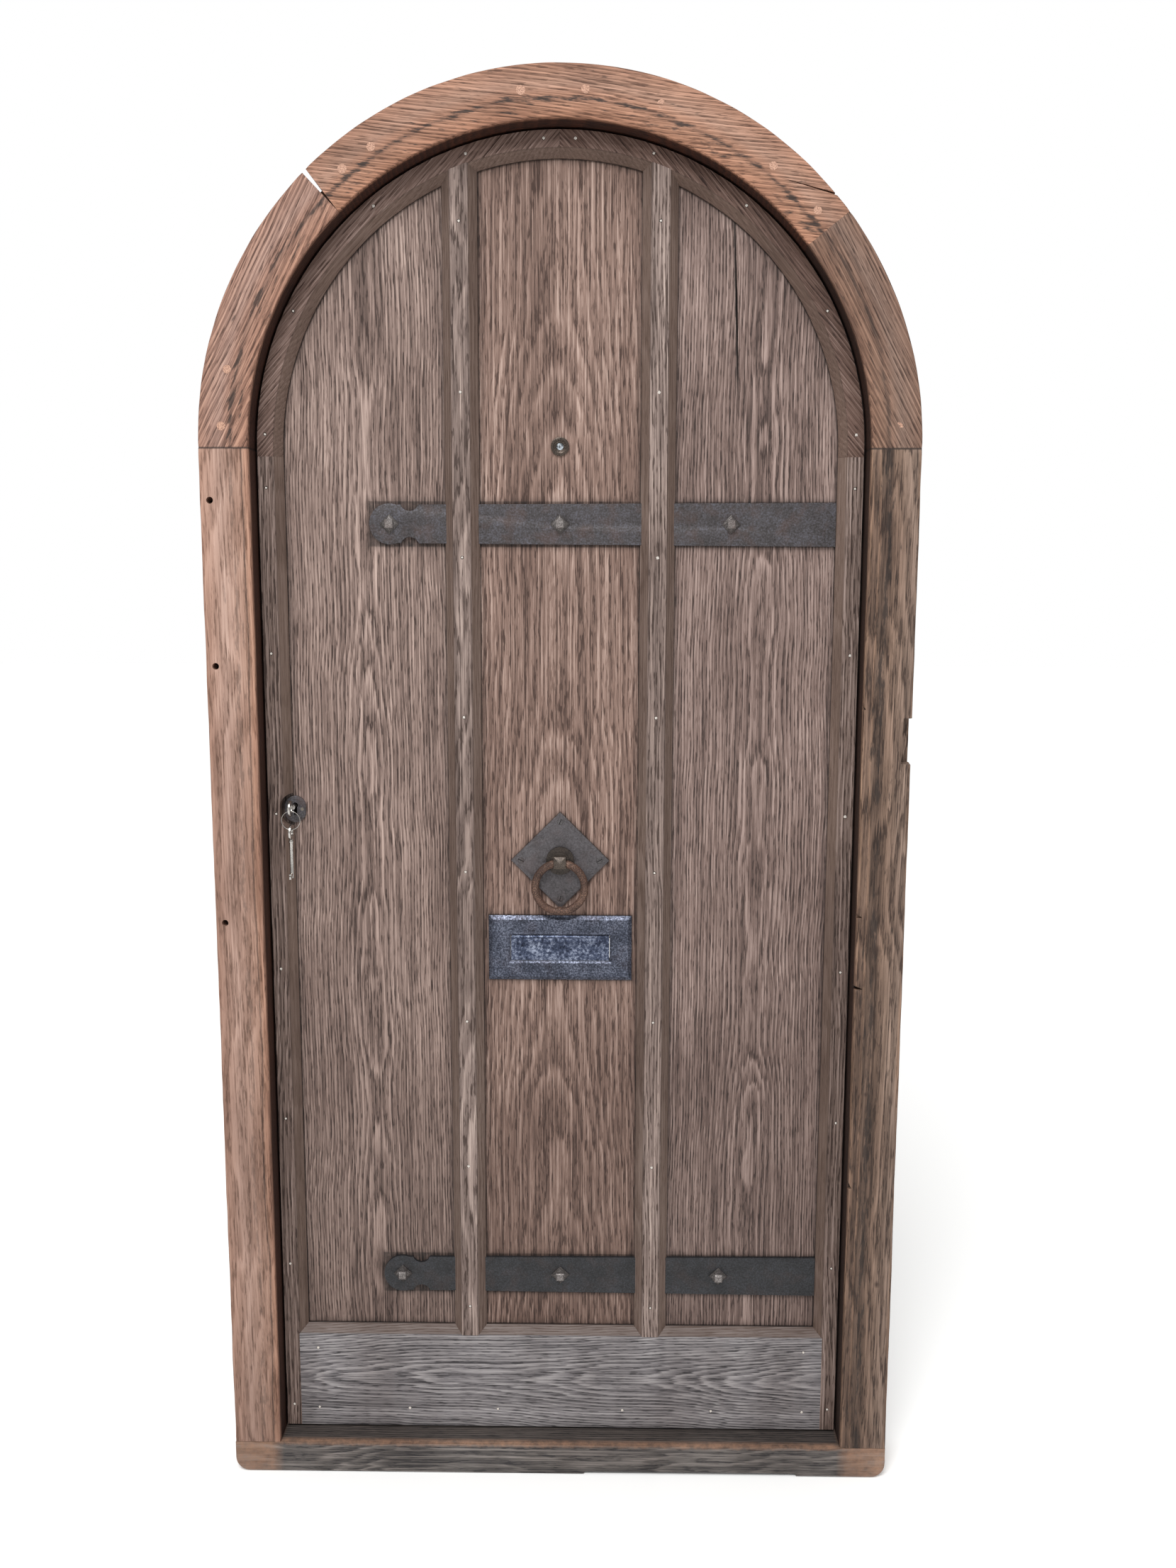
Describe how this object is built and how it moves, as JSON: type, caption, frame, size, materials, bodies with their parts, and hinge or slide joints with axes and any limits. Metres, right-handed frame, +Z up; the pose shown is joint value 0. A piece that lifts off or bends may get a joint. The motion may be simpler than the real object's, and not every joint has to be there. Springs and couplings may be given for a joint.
{
  "type": "arched wooden door",
  "caption": "Round-headed oak entrance door of boards, cover strips and iron straps, hung in its pegged oak frame, with knocker, letter plate, viewer, lock and keys.",
  "frame": {"origin": "middle of the sill's underside, halfway through the frame's depth", "axes": "+X from the lock side to the hinge side, +Y from the street into the house, +Z up"},
  "size_m": [1.04, 0.1145, 2.126],
  "materials": {
    "jamb_oak": "weathered oak",
    "arch_oak": "weathered oak",
    "sill_oak": "grey weathered oak",
    "peg_oak": "end grain oak",
    "board_oak": "grey-brown weathered oak",
    "framing_oak": "oiled oak",
    "strip_oak": "grey-brown weathered oak",
    "arch_strip_oak": "purplish brown weathered oak",
    "rail_oak": "blue-grey weathered oak",
    "strap_iron": "forged, lightly rusted",
    "plate_iron": "hammered",
    "rusty_iron": "rust brown",
    "letter_iron": "pitted, blackened and waxed",
    "viewer_bronze": "tarnished",
    "viewer_glass": "clear lens",
    "lock_steel": "worn",
    "nail_steel": "bright heads",
    "key_nickel": "nickel plate"
  },
  "bodies": {
    "frame": {"sill": "sill_oak", "jamb_lock": "jamb_oak", "jamb_hinge": "jamb_oak", "arch_left": "arch_oak", "arch_crown": "arch_oak", "arch_right": "arch_oak", "arch_tenons": "peg_oak", "frame_pegs": "peg_oak", "keep_plate": "lock_steel", "hinge_plates_fixed": "lock_steel", "hinge_pins": "lock_steel", "frame_screws": "lock_steel"},
    "leaf": {"board_left": "board_oak", "board_middle": "board_oak", "board_right": "board_oak", "stile_lock": "framing_oak", "stile_hinge": "framing_oak", "head_left": "framing_oak", "head_right": "framing_oak", "ledge_top": "framing_oak", "ledge_middle": "framing_oak", "ledge_bottom": "framing_oak", "margin_lock": "strip_oak", "margin_hinge": "strip_oak", "margin_arch_left": "arch_strip_oak", "margin_arch_right": "arch_strip_oak", "muntin_left": "strip_oak", "muntin_right": "strip_oak", "bottom_rail": "rail_oak", "strap_upper": "strap_iron", "strap_lower": "strap_iron", "strap_bolts": "strap_iron", "through_washers": "strap_iron", "through_nuts": "strap_iron", "viewer_barrel": "viewer_bronze", "viewer_lens": "viewer_glass", "viewer_sleeve": "viewer_bronze", "knocker_plate": "plate_iron", "knocker_screws": "plate_iron", "knocker_stud": "rusty_iron", "letter_plate": "letter_iron", "flap_rod": "letter_iron", "letter_bolts": "letter_iron", "lock_case": "lock_steel", "lock_cap": "lock_steel", "lock_ward": "lock_steel", "lock_forend": "lock_steel", "escutcheon": "lock_steel", "escutcheon_screws": "lock_steel", "strip_nails": "nail_steel", "hinge_plates_moving": "lock_steel", "leaf_screws": "lock_steel"},
    "knocker": {"knocker_ring": "rusty_iron"},
    "flap": {"letter_flap": "letter_iron"},
    "bolt": {"lock_bolt": "lock_steel"},
    "turning_key": {"key": "key_nickel"},
    "ring": {"split_ring": "key_nickel"},
    "hanging_key": {"spare_key": "key_nickel"}
  },
  "joints": [
    {"name": "leaf_swing", "type": "hinge", "parent": "frame", "child": "leaf", "pos_m": [0.4585, 0.0573, 0.90775], "axis": [0, 0, -1], "range_deg": [0, 105]},
    {"name": "knocker_swing", "type": "hinge", "parent": "leaf", "child": "knocker", "pos_m": [0, -0.014, 0.993], "axis": [-1, 0, 0], "range_deg": [-4, 110]},
    {"name": "flap_swing", "type": "hinge", "parent": "leaf", "child": "flap", "pos_m": [0, 0, 0.8725], "axis": [1, 0, 0], "range_deg": [0, 75]},
    {"name": "key_turn", "type": "hinge", "parent": "leaf", "child": "turning_key", "pos_m": [-0.4055, 0, 1.077], "axis": [0, -1, 0], "range_deg": [0, 180]},
    {"name": "bolt_throw", "type": "slide", "parent": "leaf", "child": "bolt", "axis": [-1, 0, 0], "range_m": [0, 0.02]},
    {"name": "ring_swing", "type": "hinge", "parent": "turning_key", "child": "ring", "pos_m": [-0.4055, -0.033, 1.0724], "axis": [-1, 0, 0], "range_deg": [-4, 70]},
    {"name": "spare_swing", "type": "hinge", "parent": "ring", "child": "hanging_key", "pos_m": [-0.4055, -0.033, 1.0454], "axis": [-1, 0, 0], "range_deg": [-4, 60]}
  ],
  "couplings": [
    {"joint": "bolt_throw", "follows": "key_turn", "m_per_rad": 0.006366}
  ]
}
